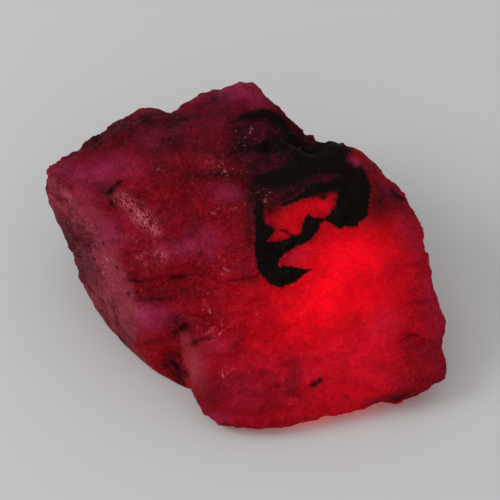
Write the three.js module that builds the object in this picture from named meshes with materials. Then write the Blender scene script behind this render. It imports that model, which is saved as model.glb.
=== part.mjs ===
// A rough ruby: one broken lump of cloudy red corundum, 46 mm long, that stands on a flat fracture.
// It is one solid. Three blocks have grown together along slanting seams, and each is bounded by
// flat parting faces. Thin parting layers show as ledges, and cracks and chips as grooves and hollows.
// Millimetres, +Z up, X to the right along the stone and Y away from the side that faces the viewer.
// The origin is under the middle of the stone, on the surface that it rests on.
import * as THREE from "three";
import { ConvexGeometry } from "three/addons/geometries/ConvexGeometry.js";
import { mergeVertices } from "three/addons/utils/BufferGeometryUtils.js";

// Driving dimensions: the stone is drawn by the corners below, then brought to exactly this size
const LENGTH = 46;
const WIDTH = 36;
const HEIGHT = 20.4;
const SURFACE_DIVISIONS = 21; // the surface has 20 * (divisions + 1)^2 triangles
const EDGE_ROUNDING = 0.24; // how far the edges between parting faces are worn back
const SEAM_ROUNDING = 0.25; // how far the seams between blocks are filled

// A point inside the stone from which the whole of its surface is in sight
const CORE = new THREE.Vector3(0, 0, 9.5);

// Corners of the left block, which carries the broad crimson face and the steep left wall
const LEFT_FACE = [
  [-22.3, 7.5, 16.0], [-16.8, 10.7, 17.5], [-11.0, 12.4, 18.7], [-7.5, 11.5, 19.1],
  [0.2, 12.4, 20.0], [2.5, 13.2, 19.6], [4.0, 11.9, 19.2], [5.8, 10.0, 18.4], [7.0, 9.5, 18.0],
  [1.9, -6.4, 13.0], [-4.6, -11.0, 9.9], [-11.7, -8.7, 9.2], [-13.8, -3.1, 12.2],
  [-16.7, 1.8, 14.3], [-20.7, 5.8, 15.6],
];
const LEFT_SHOULDER = [[-18.6, 2.5, 13.4], [-16.2, -2.4, 10.8], [-13.7, -7.0, 8.2], [-12.1, -9.2, 7.2]];
const LEFT_BACK = [
  [-23.7, 8.0, 15.0], [-22.9, 6.5, 14.3], [-21.6, 9.4, 14.4], [-17.8, 12.2, 14.7],
  [-14.7, 15.3, 15.5], [-11.4, 16.7, 16.5], [-21.9, 6.8, 9.0],
];
const LEFT_FOOT = [
  [-19.9, 4.8, 1.0], [-18.6, 1.3, 0], [-15.6, -3.2, 0], [-11.2, -8.6, 0], [-6.8, -11.8, 0],
  [-18.5, 11.5, 4.0], [-12.0, 15.0, 2.0], [0.5, 15.0, 2.0], [13.5, 4.5, 0], [1.0, -12.5, 0],
];

// Corners of the back block, a lump that stands behind the left block's crest
const BACK_BLOCK = [
  [-8.4, 15.3, 18.2], [-6.5, 16.9, 18.5], [-3.6, 17.2, 19.1], [-0.1, 18.0, 19.1], [1.7, 17.5, 18.7],
  [3.0, 15.8, 17.0], [4.4, 14.8, 16.1], [7.0, 13.7, 15.5], [8.4, 12.4, 16.0], [-7.5, 10.5, 18.8],
  [-2.4, 11.1, 20.1], [1.9, 14.0, 20.2], [3.5, 12.5, 18.8],
  [-7.0, 15.0, 3.0], [0.0, 17.5, 5.0], [6.0, 14.0, 3.0], [8.0, 10.0, 1.0], [0.0, 5.0, 1.0],
];

// Corners of the right block, which carries the bright face and reaches the stone's lowest rim
const RIGHT_BACK = [
  [6.8, 12.5, 16.8], [9.8, 11.2, 17.6], [12.1, 11.0, 17.4], [14.9, 9.1, 16.3], [17.5, 5.6, 14.6],
  [19.1, 4.1, 13.6], [20.5, 0.7, 11.5], [22.3, -4.8, 8.7], [23.3, -9.0, 6.6], [23.6, -10.8, 5.3],
];
const RIGHT_FACE = [
  [9.7, 6.9, 18.0], [15.4, 4.1, 16.0], [1.9, 3.3, 17.1], [17.5, -0.8, 13.0], [17.4, -9.2, 8.0],
  [17.9, -13.6, 4.6], [6.2, -15.4, 5.0], [-4.4, -16.1, 5.0], [-4.6, -11.4, 9.6], [-6.9, -9.9, 9.8],
  [1.9, -6.5, 13.1], [-0.6, -8.0, 12.4], [-2.3, -10.8, 10.4],
];
const RIGHT_RIM = [
  [22.9, -12.9, 3.9], [20.3, -13.7, 2.6], [16.0, -14.1, 2.3], [11.4, -14.1, 2.2], [6.3, -16.1, 1.9],
  [3.3, -17.9, 1.4], [-0.6, -18.0, 1.3], [-3.4, -17.5, 1.6], [-4.0, -14.8, 1.8], [-7.0, -12.4, 1.2],
];
const RIGHT_FOOT = [
  [20.5, -10.0, 0], [20.0, -3.0, 0], [17.0, 4.0, 0], [11.0, 10.0, 1.0], [14.0, -12.5, 0],
  [4.0, -15.5, 0], [-3.0, -14.5, 0], [19.0, 5.0, 6.0], [10.0, 12.3, 9.0], [3.5, 13.5, 9.0],
  [3.0, 12.0, 1.0],
];

// Parting layers lie parallel to the broad face. Their ledges are boldest at the crest, and almost
// worn away on the bright face.
const LAYER_NORMAL = new THREE.Vector3(0.03, -0.37, 0.93).normalize();
const LAYER_PITCH = 2.6;
const LAYER_WAVE = { height: 0.5, spacing: 8 };
const RISER = { from: 0.3, to: 0.7 }; // the share of a layer's thickness that its ledge's riser takes
const LEDGE_STRENGTH = 0.22;
const CREST = { at: [1, 10, 18.5], reach: 9, gain: 0.5 };
const BRIGHT_FACE = { at: [12, -5, 12], reach: 14, gain: -0.16 };

// Valleys and cracks: a route along the surface, and the depth at its start and at its end
const GROOVES = [
  // the valley between the crest and the lump behind it
  {
    route: [
      [-4.5, 11.6, 19.6], [-1.1, 12.3, 20.0], [0.8, 13.4, 19.8], [3.1, 13.8, 19.2],
      [5.3, 11.5, 18.3], [7.7, 10.0, 17.4],
    ],
    halfWidth: 1.1,
    depth: [0.5, 2.0],
  },
  // the long crack across the broad face
  {
    route: [[-13.2, -4.3, 11.6], [-8.9, -4.3, 12.6], [-4.0, -4.4, 13.1], [-2.7, -5.3, 13.0], [1.9, -5.2, 13.7]],
    halfWidth: 0.9,
    depth: [0.55, 0.3],
  },
  // the joint between the blocks at the front corner
  {
    route: [[-9.0, -10.2, 8.0], [-7.9, -9.9, 9.4], [-6.8, -9.4, 10.1], [-5.5, -11.1, 9.1], [-2.7, -10.8, 10.1]],
    halfWidth: 0.9,
    depth: [0.6, 0.3],
  },
  // the foot of the terrace below the crest
  {
    route: [[-3.0, 8.2, 18.6], [0.5, 8.8, 19.2], [2.8, 9.8, 18.4], [5.5, 11.7, 16.7]],
    halfWidth: 0.9,
    depth: [0.3, 0.7],
  },
  // the step near the right-hand corner
  {
    route: [[16.0, -9.7, 7.8], [19.1, -8.7, 7.4], [21.4, -9.2, 6.5], [23.6, -9.4, 5.7]],
    halfWidth: 1.0,
    depth: [0.3, 0.6],
  },
];

// Chips out of the surface
const HOLLOWS = [
  { at: [-9.2, 15.8, 17.6], reach: 1.7, depth: 1.0 },
  { at: [-9.0, -10.2, 4.5], reach: 2.2, depth: 0.9 },
  { at: [-8.0, -7.2, 11.4], reach: 3.0, depth: 0.45 },
  { at: [11.4, -15.2, 1.5], reach: 3.5, depth: 0.2 },
  { at: [-4.0, 16.5, 7.0], reach: 5.0, depth: 1.2 },
  { at: [14.0, 10.0, 8.0], reach: 4.0, depth: 0.8 },
];

// Low swells all over the surface
const LUMPS = [
  { height: 0.3, spacing: 6.5 },
  { height: 0.15, spacing: 2.7 },
];

// Repeatable noise from -1 to 1 that changes over about one unit of length
function noise(x, y, z) {
  const cell = [Math.floor(x), Math.floor(y), Math.floor(z)];
  const [u, v, w] = [x - cell[0], y - cell[1], z - cell[2]].map((t) => t * t * (3 - 2 * t));
  const corner = (i, j, k) => {
    const dot = (cell[0] + i) * 127.1 + (cell[1] + j) * 311.7 + (cell[2] + k) * 74.7;
    const wild = Math.sin(dot) * 43758.5453;
    return 2 * (wild - Math.floor(wild)) - 1;
  };
  const along = (j, k) => corner(0, j, k) * (1 - u) + corner(1, j, k) * u;
  const across = (k) => along(0, k) * (1 - v) + along(1, k) * v;
  return across(0) * (1 - w) + across(1) * w;
}

const noiseAt = (p, spacing) => noise(p.x / spacing, p.y / spacing, p.z / spacing);

// From 1 where something is to 0 well beyond its reach
const fading = (distance, reach) => Math.exp(-((distance / reach) ** 2));

const nearness = (p, { at: [x, y, z], reach }) => fading(Math.hypot(p.x - x, p.y - y, p.z - z), reach);

// The planes that bound a block, from its corners, without near copies of the same face
function facesOf(corners) {
  const SAME_TURN = 0.9985;
  const SAME_PLACE = 0.25;
  const hull = new ConvexGeometry(corners.map((c) => new THREE.Vector3(...c)));
  const at = hull.getAttribute("position");
  const planes = [];
  for (let i = 0; i < at.count; i += 3) {
    const [a, b, c] = [0, 1, 2].map((k) => new THREE.Vector3().fromBufferAttribute(at, i + k));
    const plane = new THREE.Plane().setFromCoplanarPoints(a, b, c);
    const known = planes.some(
      (p) => p.normal.dot(plane.normal) > SAME_TURN && Math.abs(p.constant - plane.constant) < SAME_PLACE,
    );
    if (!known) planes.push(plane);
  }
  return planes;
}

// The largest of some distances, with its corners rounded
function roundedMax(distances, rounding) {
  const top = Math.max(...distances);
  const sum = distances.reduce((s, d) => s + Math.exp((d - top) / rounding), 0);
  return top + rounding * Math.log(sum);
}

// A point moved across the parting layers, so that a face that cuts them obliquely comes out stepped
function terraced(p) {
  const place = p.dot(LAYER_NORMAL) / LAYER_PITCH + LAYER_WAVE.height * noiseAt(p, LAYER_WAVE.spacing);
  const within = place - Math.floor(place);
  const step = THREE.MathUtils.smoothstep(within, RISER.from, RISER.to) - within;
  const strength =
    LEDGE_STRENGTH + CREST.gain * nearness(p, CREST) + BRIGHT_FACE.gain * nearness(p, BRIGHT_FACE);
  return p.clone().addScaledVector(LAYER_NORMAL, step * LAYER_PITCH * strength);
}

// How much of a groove's depth is felt at a point
function grooveDepth(p, { route, halfWidth, depth }) {
  let deepest = 0;
  const nearest = new THREE.Vector3();
  for (let i = 0; i + 1 < route.length; i += 1) {
    const stretch = new THREE.Line3(new THREE.Vector3(...route[i]), new THREE.Vector3(...route[i + 1]));
    const share = stretch.closestPointToPointParameter(p, true);
    stretch.at(share, nearest);
    const here = THREE.MathUtils.lerp(depth[0], depth[1], (i + share) / (route.length - 1));
    deepest = Math.max(deepest, here * fading(p.distanceTo(nearest), halfWidth));
  }
  return deepest;
}

const blocks = [
  [LEFT_FACE, LEFT_SHOULDER, LEFT_BACK, LEFT_FOOT],
  [BACK_BLOCK],
  [RIGHT_BACK, RIGHT_FACE, RIGHT_RIM, RIGHT_FOOT],
].map((groups) => facesOf(groups.flat()));

// How far a point is outside the stone, roughly in millimetres, and less than 0 inside it
function outside(p) {
  const moved = terraced(p);
  const fromBlock = blocks.map((planes) =>
    roundedMax(planes.map((plane) => plane.distanceToPoint(moved)), EDGE_ROUNDING) - EDGE_ROUNDING,
  );
  let gap = -roundedMax(fromBlock.map((d) => -d), SEAM_ROUNDING);
  for (const { height, spacing } of LUMPS) gap += height * noiseAt(p, spacing);
  for (const hollow of HOLLOWS) gap += hollow.depth * nearness(p, hollow);
  for (const groove of GROOVES) gap += grooveDepth(p, groove);
  return gap;
}

// The point where the line from the stone's core leaves the stone, or meets the flat foot
function surfacePoint(direction) {
  const WELL_OUTSIDE = 0.65 * LENGTH;
  const STEP = 0.4;
  const HALVINGS = 12;
  const at = (reach) => direction.clone().multiplyScalar(reach).add(CORE);
  let far = WELL_OUTSIDE;
  while (outside(at(far - STEP)) > 0) far -= STEP;
  let near = far - STEP;
  for (let i = 0; i < HALVINGS; i += 1) {
    const middle = (near + far) / 2;
    if (outside(at(middle)) > 0) far = middle;
    else near = middle;
  }
  const point = at(near);
  if (point.z < 0) {
    point.copy(at(-CORE.z / direction.z));
    point.z = 0;
  }
  return point;
}

// For each point of a closed surface, the points that share a triangle's side with it
function neighboursOf(index, count) {
  const sets = Array.from({ length: count }, () => new Set());
  for (let i = 0; i < index.count; i += 3) {
    const [a, b, c] = [index.getX(i), index.getX(i + 1), index.getX(i + 2)];
    sets[a].add(b).add(c);
    sets[b].add(a).add(c);
    sets[c].add(a).add(b);
  }
  return sets.map((set) => [...set]);
}

// A ball of even triangles whose points are moved out to the stone's surface. Each further pass aims
// a point at the middle of its neighbours, so that the triangles stay even on the ledges.
function stoneGeometry() {
  const EVENING_PASSES = 4;
  const FAIRING = 0.25; // how far each point is drawn to the middle of its neighbours at the end
  const SAME_POINT = 1e-5;
  const ball = new THREE.IcosahedronGeometry(1, SURFACE_DIVISIONS);
  ball.deleteAttribute("normal");
  ball.deleteAttribute("uv");
  const geometry = mergeVertices(ball, SAME_POINT);
  const at = geometry.getAttribute("position");
  const neighbours = neighboursOf(geometry.index, at.count);
  const proportions = new THREE.Vector3(LENGTH, WIDTH, HEIGHT);
  const middleOf = (points, near) =>
    near.reduce((sum, k) => sum.add(points[k]), new THREE.Vector3()).divideScalar(near.length);

  let points = Array.from({ length: at.count }, (_, i) => {
    const direction = new THREE.Vector3().fromBufferAttribute(at, i).multiply(proportions);
    return surfacePoint(direction.normalize());
  });
  for (let pass = 0; pass < EVENING_PASSES; pass += 1) {
    points = neighbours.map((near) => surfacePoint(middleOf(points, near).sub(CORE).normalize()));
  }
  points = points.map((p, i) => p.clone().lerp(middleOf(points, neighbours[i]), FAIRING));
  points.forEach((p, i) => at.setXYZ(i, ...p));

  geometry.computeBoundingBox();
  const size = geometry.boundingBox.getSize(new THREE.Vector3());
  const middle = geometry.boundingBox.getCenter(new THREE.Vector3());
  geometry.translate(-middle.x, -middle.y, 0);
  geometry.scale(LENGTH / size.x, WIDTH / size.y, HEIGHT / size.z);
  geometry.computeVertexNormals();
  return geometry;
}

const ruby = new THREE.MeshStandardMaterial({ color: 0x8c0a24, roughness: 0.5, metalness: 0 });
const stone = new THREE.Mesh(stoneGeometry(), ruby);
stone.name = "rough_ruby";

const part = new THREE.Group();
part.add(stone);
export default part;
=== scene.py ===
# A rough ruby: one broken lump of cloudy red corundum, 46 mm long, with black matrix grown into it.
# It lies on its flat fracture on a pale floor. Its thin side has a painted glow, as it does with light from
# below.
# Sizes are in metres, and those of the marks on the stone in millimetres.
import math

import bmesh
import bpy
import numpy as np
from mathutils import Matrix, Vector


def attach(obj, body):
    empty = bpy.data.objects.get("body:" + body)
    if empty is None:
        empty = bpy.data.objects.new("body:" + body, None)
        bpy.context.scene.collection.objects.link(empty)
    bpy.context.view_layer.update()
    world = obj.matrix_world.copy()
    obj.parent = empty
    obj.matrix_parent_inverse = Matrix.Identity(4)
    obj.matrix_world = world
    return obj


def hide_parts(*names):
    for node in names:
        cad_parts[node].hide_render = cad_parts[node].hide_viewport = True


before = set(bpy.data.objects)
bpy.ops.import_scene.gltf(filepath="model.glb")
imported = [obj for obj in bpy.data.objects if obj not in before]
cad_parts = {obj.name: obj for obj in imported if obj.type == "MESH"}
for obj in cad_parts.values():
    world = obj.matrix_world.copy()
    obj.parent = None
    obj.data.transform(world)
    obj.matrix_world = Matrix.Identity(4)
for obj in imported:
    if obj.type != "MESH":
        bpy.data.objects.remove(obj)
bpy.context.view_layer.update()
MM = 0.001

# The viewer
# The stone is looked at from in front and well above. The camera stands far off, so the stone keeps
# its proportions. The camera comes first, because the stone's marks are placed as seen from there.
ELEVATION = math.radians(55)
DISTANCE = 320 * MM
LOOKED_AT = np.array((0.55, 0.41, 10.7)) * MM
VIEW_WIDTH = 57.8 * MM
SENSOR_WIDTH = 36.0
NEAREST_SEEN = 10 * MM
FARTHEST_SEEN = 10.0

rightwards = np.array((1.0, 0.0, 0.0))
upwards = np.array((0.0, math.sin(ELEVATION), math.cos(ELEVATION)))
to_viewer = np.array((0.0, -math.cos(ELEVATION), math.sin(ELEVATION)))
eye = LOOKED_AT + DISTANCE * to_viewer

camera_data = bpy.data.cameras.new("viewer")
camera_data.sensor_width = SENSOR_WIDTH
camera_data.lens = SENSOR_WIDTH * DISTANCE / VIEW_WIDTH
camera_data.clip_start = NEAREST_SEEN
camera_data.clip_end = FARTHEST_SEEN
camera = bpy.data.objects.new("viewer", camera_data)
turn = Matrix([rightwards, upwards, to_viewer]).transposed()
camera.matrix_world = Matrix.LocRotScale(eye, turn.to_quaternion(), None)
bpy.context.scene.collection.objects.link(camera)
bpy.context.scene.camera = camera

# The stone's body
# The whole stone is one broken crystal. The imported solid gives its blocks, faces, ledges and cracks,
# and this finer copy of it takes the worn edges, low swells, parting steps and grain between them.
SUBDIVISION_CUTS = 3
SAME_POINT = 0.001 * MM
LAYER_NORMAL = np.array((0.03, -0.37, 0.93))
LAYER_NORMAL /= np.linalg.norm(LAYER_NORMAL)
# Colours drawn at random have their middle here, and each set of cells lies this far from the last.
MIDDLE = (0.5, 0.5, 0.5)
CELL_SHIFT = np.array((31.0, 17.0, 0.0))


class Wire:
    """An output socket in a tree of nodes. Arithmetic on it adds Math nodes to the tree."""

    def __init__(self, tree, socket=None):
        self.tree = tree
        self.socket = socket

    def node(self, kind, settings, inputs, output=0):
        """A new node of that type, with its settings made first and then its sockets' values or links."""
        made = self.tree.nodes.new(kind)
        for name, value in settings.items():
            setattr(made, name, value)
        for name, value in inputs.items():
            if isinstance(value, Wire):
                self.tree.links.new(value.socket, made.inputs[name])
            else:
                made.inputs[name].default_value = value
        return Wire(self.tree, made.outputs[output]) if made.outputs else None

    def maths(self, operation, *others):
        return self.node("ShaderNodeMath", {"operation": operation}, dict(enumerate((self, *others))))

    def vector(self, operation, *others, output="Vector"):
        settings = {"operation": operation}
        return self.node("ShaderNodeVectorMath", settings, dict(enumerate((self, *others))), output)

    def scaled(self, factor):
        return self.node("ShaderNodeVectorMath", {"operation": "SCALE"}, {0: self, "Scale": factor})

    def __add__(self, other):
        return self.maths("ADD", other)

    def __radd__(self, other):
        return self.maths("ADD", other)

    def __sub__(self, other):
        return self.maths("SUBTRACT", other)

    def __rsub__(self, other):
        return Wire(self.tree).node("ShaderNodeMath", {"operation": "SUBTRACT"}, {0: other, 1: self})

    def __mul__(self, other):
        return self.maths("MULTIPLY", other)

    def __rmul__(self, other):
        return self.maths("MULTIPLY", other)

    def __truediv__(self, other):
        return self.maths("DIVIDE", other)

    def __rtruediv__(self, other):
        return Wire(self.tree).node("ShaderNodeMath", {"operation": "DIVIDE"}, {0: other, 1: self})


def noise(place, spacing, detail, seed=0.0):
    """Cloudy noise about 0, from about -0.5 to 0.5, that changes over a spacing in millimetres."""
    settings = {"noise_dimensions": "4D"}
    inputs = {"Vector": place, "W": seed, "Scale": 1 / spacing, "Detail": detail}
    return place.node("ShaderNodeTexNoise", settings, inputs) - 0.5


def wander(place, spacing, detail):
    """A vector about 0 that changes over a spacing in millimetres. It bends the pattern it is added to."""
    inputs = {"Vector": place, "Scale": 1 / spacing, "Detail": detail}
    return place.node("ShaderNodeTexNoise", {}, inputs, "Color").vector("SUBTRACT", MIDDLE)


def facets(place, size, seed):
    """Flat chips of a size in millimetres, each tilted its own way: their height and a draw from 0 to 1."""
    shifted = place.vector("ADD", tuple(seed * CELL_SHIFT))
    cells = {"Vector": shifted, "Scale": 1 / size}
    draw = place.node("ShaderNodeTexVoronoi", {}, cells, "Color")
    middle = place.node("ShaderNodeTexVoronoi", {}, cells, "Position")
    tilt = draw.vector("SUBTRACT", MIDDLE)
    height = shifted.vector("SUBTRACT", middle).vector("DOT_PRODUCT", tilt, output="Value")
    return height, place.node("ShaderNodeSeparateXYZ", {}, {0: draw}, 0)


def rise(value, low, high):
    """0 up to low and 1 from high on, with a smooth rise between them."""
    settings = {"interpolation_type": "SMOOTHSTEP"}
    return value.node("ShaderNodeMapRange", settings, {"Value": value, "From Min": low, "From Max": high})


# Heights, depths, widths, spacings and pitches are in millimetres.
STONE_SURFACE = {
    "Softening passes": 2,
    "Sharpening passes": 25,
    "Sharpening": 0.6,
    "Swell height": 0.9,
    "Swell spacing": 5.0,
    "Chip tilt": 0.16,
    "Chip size": 3.2,
    "Small chip tilt": 0.10,
    "Small chip size": 1.3,
    "Hackle height": 0.35,
    "Hackle spacing": 1.5,
    "Step height": 0.28,
    "Step pitch": 1.9,
    "Hidden step height": 0.5,
    "Ledge height": 0.35,
    "Ledge pitch": 3.4,
    "Grain height": 0.26,
    "Grain spacing": 0.6,
    "Jag height": 3.0,
    "Jag spacing": 0.9,
    "Crack depth": 0.25,
    "Crack width": 0.5,
    "Foot height": 1.2,
    "Seed": 4.0,
}
# The ledges run across the broad face, so their normal lies along it.
LEDGE_NORMAL = np.array((-0.26, 0.90, 0.36))
LEDGE_NORMAL /= np.linalg.norm(LEDGE_NORMAL)
# Each layer's edge is a steep step that takes up this share of its pitch. The layers bend by a few
# pitches over a bend's spacing, and below the foot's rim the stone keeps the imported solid's surface.
STEP_SHARE = 0.25
STEP_SHIFT = 0.25
BEND_SPACING = 5.0
BEND_IN_PITCHES = 3.0
FOOT_RIM = 0.1


def stone_surface_tree(material):
    """Wears the edges, then moves each point of the surface in or out along its normal."""
    tree = bpy.data.node_groups.new("stone_surface", "GeometryNodeTree")
    tree.interface.new_socket("Geometry", in_out="INPUT", socket_type="NodeSocketGeometry")
    for name, value in STONE_SURFACE.items():
        kind = "NodeSocketInt" if isinstance(value, int) else "NodeSocketFloat"
        tree.interface.new_socket(name, in_out="INPUT", socket_type=kind)
    tree.interface.new_socket("Geometry", in_out="OUTPUT", socket_type="NodeSocketGeometry")
    source = tree.nodes.new("NodeGroupInput")
    given = {socket.name: Wire(tree, socket) for socket in source.outputs}
    new = Wire(tree).node

    def blurred_place(passes):
        place = new("GeometryNodeInputPosition", {}, {})
        settings = {"data_type": "FLOAT_VECTOR"}
        return new("GeometryNodeBlurAttribute", settings, {"Value": place, "Iterations": passes})

    worn = blurred_place(given["Softening passes"])
    relief = worn.vector("SUBTRACT", blurred_place(given["Sharpening passes"]))
    crisp = worn.vector("ADD", relief.scaled(given["Sharpening"]))
    body = new("GeometryNodeSetPosition", {}, {"Geometry": given["Geometry"], "Position": crisp})

    place = new("GeometryNodeInputPosition", {}, {}).scaled(1 / MM)
    height = place.node("ShaderNodeSeparateXYZ", {}, {0: place}, "Z")
    seed = given["Seed"]

    swell = noise(place, given["Swell spacing"], detail=1.0, seed=seed) * given["Swell height"]
    hackle = noise(place, given["Hackle spacing"], detail=3.0, seed=seed + 1.0) * given["Hackle height"]
    warped = place.vector("ADD", wander(place, spacing=2.0, detail=2.0).scaled(2.5))
    chip = facets(warped, given["Chip size"], seed=1.0)[0] * given["Chip tilt"]
    small_chip = facets(warped, given["Small chip size"], seed=2.0)[0] * given["Small chip tilt"]
    grain = noise(place, given["Grain spacing"], detail=3.0, seed=seed + 2.0) * given["Grain height"]

    def stepped(direction, pitch, bend_seed):
        """Steep steps with slow slopes between them along a direction, from -0.25 to 0.5."""
        along = place.vector("DOT_PRODUCT", tuple(direction), output="Value") / pitch
        bend = noise(place, BEND_SPACING, detail=2.0, seed=bend_seed) * BEND_IN_PITCHES
        share = (along + bend).maths("FRACT")
        return rise(share, 0.0, STEP_SHARE) - share - STEP_SHIFT

    step = stepped(LAYER_NORMAL, given["Step pitch"], seed + 3.0)
    terraced = rise(noise(place, spacing=6.0, detail=1.0, seed=seed + 5.0), -0.12, 0.12)
    terrace = stepped(LEDGE_NORMAL, given["Ledge pitch"], seed + 6.0) * terraced

    def mark(name):
        return new("GeometryNodeInputNamedAttribute", {"data_type": "FLOAT"}, {"Name": name})

    cut = (1 - rise(mark("crack"), 0.0, given["Crack width"])) * given["Crack depth"]

    offset = swell + chip + small_chip + hackle + grain - cut
    step_height = given["Step height"] + mark("hidden") * given["Hidden step height"]
    offset = offset + step * step_height + terrace * given["Ledge height"] - mark("drop")
    jags = mark("ragged") * noise(place, given["Jag spacing"], detail=3.0, seed=seed + 7.0)
    offset = offset + jags * given["Jag height"]
    offset = offset * rise(height, FOOT_RIM, given["Foot height"])
    normal = new("GeometryNodeInputNormal", {}, {})
    body = new("GeometryNodeSetPosition", {}, {"Geometry": body, "Offset": normal.scaled(offset * MM)})

    body = new("GeometryNodeRealizeInstances", {}, {"Geometry": body})
    body = new("GeometryNodeSetMaterial", {}, {"Geometry": body, "Material": material})
    result = tree.nodes.new("NodeGroupOutput")
    tree.links.new(body.socket, result.inputs["Geometry"])
    return tree


def fine_copy(node):
    """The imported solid's mesh, joined up and divided into smaller triangles."""
    mesh = node.data.copy()
    mesh.materials.clear()
    shape = bmesh.new()
    shape.from_mesh(mesh)
    bmesh.ops.remove_doubles(shape, verts=shape.verts, dist=SAME_POINT)
    bmesh.ops.subdivide_edges(shape, edges=shape.edges, cuts=SUBDIVISION_CUTS, use_grid_fill=True)
    shape.to_mesh(mesh)
    shape.free()
    return mesh


# Cracks, ledges, hollows and ragged stretches are carved into the stone's upper side. Their places are
# millimetres right of and above the middle of the view.
CRACKS = {
    "long crack": [
        (-13.5, -3.6), (-11.3, -3.5), (-9.7, -3.2), (-8.6, -3.1), (-7.2, -2.9), (-5.1, -3.1),
        (-4.2, -3.2), (-3.2, -3.6), (-2.0, -3.5), (0.9, -3.1),
    ],
    "joint between the blocks": [
        (-8.8, -9.7), (-7.4, -8.7), (-6.8, -9.7), (-6.4, -10.6), (-5.2, -10.3), (-4.0, -10.1),
    ],
    "side of the lower block": [(-8.3, -10.6), (-8.1, -12.2), (-7.9, -13.4), (-7.2, -14.6)],
    "step at the right corner": [
        (17.3, -10.5), (17.9, -10.2), (18.7, -9.7), (19.7, -10.1), (21.0, -10.6), (22.3, -11.0),
    ],
    "foot of the terrace": [(-2.9, 10.4), (-2.1, 11.1), (-0.6, 11.4), (0.9, 11.8)],
}
# A route, the drop of the surface on its right-hand side and how far the drop reaches. The drop's edge
# runs from just short of the route to just past it, and each ledge fades out at its two ends.
DROP_EDGE = (-0.1, 0.25)
FADE_LENGTH = 1.5
LEDGES = {
    "long crack": ([(-14.5, -3.9), (-11.0, -3.5), (-8.1, -3.0), (-4.0, -3.6), (0.0, -3.8)], 0.5, 2.5),
    "below the long crack": ([(-13.3, -5.9), (-11.6, -5.7), (-7.5, -5.3)], 0.3, 1.5),
    "under the violet lump": (
        [(-13.3, -9.0), (-12.4, -9.9), (-11.2, -10.2), (-9.8, -9.9), (-8.1, -9.0), (-7.0, -7.9)], 0.6, 2.0,
    ),
    "side of the lower block": (
        [(-8.6, -9.4), (-8.2, -11.5), (-8.0, -13.0), (-7.2, -14.8), (-6.0, -16.8)], 0.8, 1.6,
    ),
    "right corner": (
        [(15.5, -10.8), (17.6, -10.3), (18.7, -9.7), (19.7, -10.1), (21.0, -10.6), (23.5, -11.2)], 0.6, 3.0,
    ),
    "above the right corner": ([(17.0, -6.2), (19.4, -5.9), (22.0, -6.1)], 0.25, 2.0),
    "foot of the terrace": ([(-4.5, 10.3), (-2.1, 11.1), (0.9, 11.7), (3.0, 11.5)], 0.4, 2.5),
    "head of the terrace": ([(-4.2, 14.0), (-1.7, 14.8), (1.0, 15.4), (3.5, 14.2)], 0.4, 2.0),
    "low ledge": ([(-6.0, -18.3), (-4.0, -18.6), (-1.6, -19.1), (1.5, -19.0)], 0.3, 1.5),
}
# Soft patches: the middle, the half length, the half breadth, the turn in degrees and the strength,
# which is a depth in millimetres for a hollow
HOLLOWS = [
    (9.6, 13.2, 1.8, 0.9, -10, 0.7), (-7.6, -15.8, 1.8, 1.0, -45, 0.5),
    (-9.4, -12.6, 1.0, 0.8, -30, 0.6),
]
RAGGED_STRETCHES = [
    (7.0, 13.2, 1.6, 1.0, -45, 1.0), (-14.2, 15.0, 2.8, 1.6, 25, 0.6),
    (-10.5, -14.0, 3.0, 1.2, -35, 0.5),
]
# A surface is out of sight up to the first facing share and in sight from the second on: once for what
# is carved, and once for the marks. The far side is what stays hidden from the marks in any case.
CARVED_FACING = (-0.45, -0.1)
MARKED_FACING = (-0.25, 0.0)
FAR_SIDE = (0.7, 0.9)


def smooth(value, low, high):
    """0 up to low and 1 from high on, with a smooth rise between them."""
    share = np.clip((value - low) / (high - low), 0, 1)
    return share * share * (3 - 2 * share)


def nearest(distances):
    return np.min(list(distances), axis=0)


def legs(places, route):
    """Each leg of a route, with each place's share of the way along it and its offset from there."""
    for start, end in zip(np.array(route[:-1]), np.array(route[1:])):
        leg = end - start
        share = np.clip((places - start) @ leg / (leg @ leg), 0, 1)
        yield leg, share, places - start - share[:, None] * leg


def distance_to_route(places, route):
    """The distance of each place to the nearest point of a route."""
    return nearest(np.linalg.norm(offset, axis=1) for _, _, offset in legs(places, route))


def drop_below(places, route, drop, reach):
    """How far each place lies under the uncut surface, for a drop to the right-hand side of a route."""
    shortest = np.full(len(places), np.inf)
    below = np.zeros(len(places))
    run = np.zeros(len(places))
    length = 0.0
    for leg, share, offset in legs(places, route):
        gap = np.linalg.norm(offset, axis=1)
        closer = gap < shortest
        side = np.sign(leg[1] * offset[:, 0] - leg[0] * offset[:, 1])
        below = np.where(closer, gap * side, below)
        run = np.where(closer, length + share * np.linalg.norm(leg), run)
        shortest = np.minimum(shortest, gap)
        length += np.linalg.norm(leg)
    fade = smooth(run, 0, FADE_LENGTH) * (1 - smooth(run, length - FADE_LENGTH, length))
    return drop * fade * smooth(below, *DROP_EDGE) * np.exp(-np.maximum(below, 0) / reach)


def patches(places, shapes):
    """How strongly each place is covered by soft patches, from 0 to 1."""
    bare = np.ones(len(places))
    for x, y, half_length, half_breadth, degrees, strength in shapes:
        turn = math.radians(degrees)
        from_middle = places - (x, y)
        along = from_middle @ (math.cos(turn), math.sin(turn)) / half_length
        across = from_middle @ (-math.sin(turn), math.cos(turn)) / half_breadth
        bare *= 1 - strength * np.exp(-(along**2 + across**2))
    return 1 - bare


def keep_mark(mesh, name, values):
    mark = mesh.attributes.get(name) or mesh.attributes.new(name, "FLOAT", "POINT")
    mark.data.foreach_set("value", values.astype(np.float32))


def read_vectors(items, name):
    values = np.empty(3 * len(items), np.float32)
    items.foreach_get(name, values)
    return values.reshape(-1, 3).astype(float)


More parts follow.
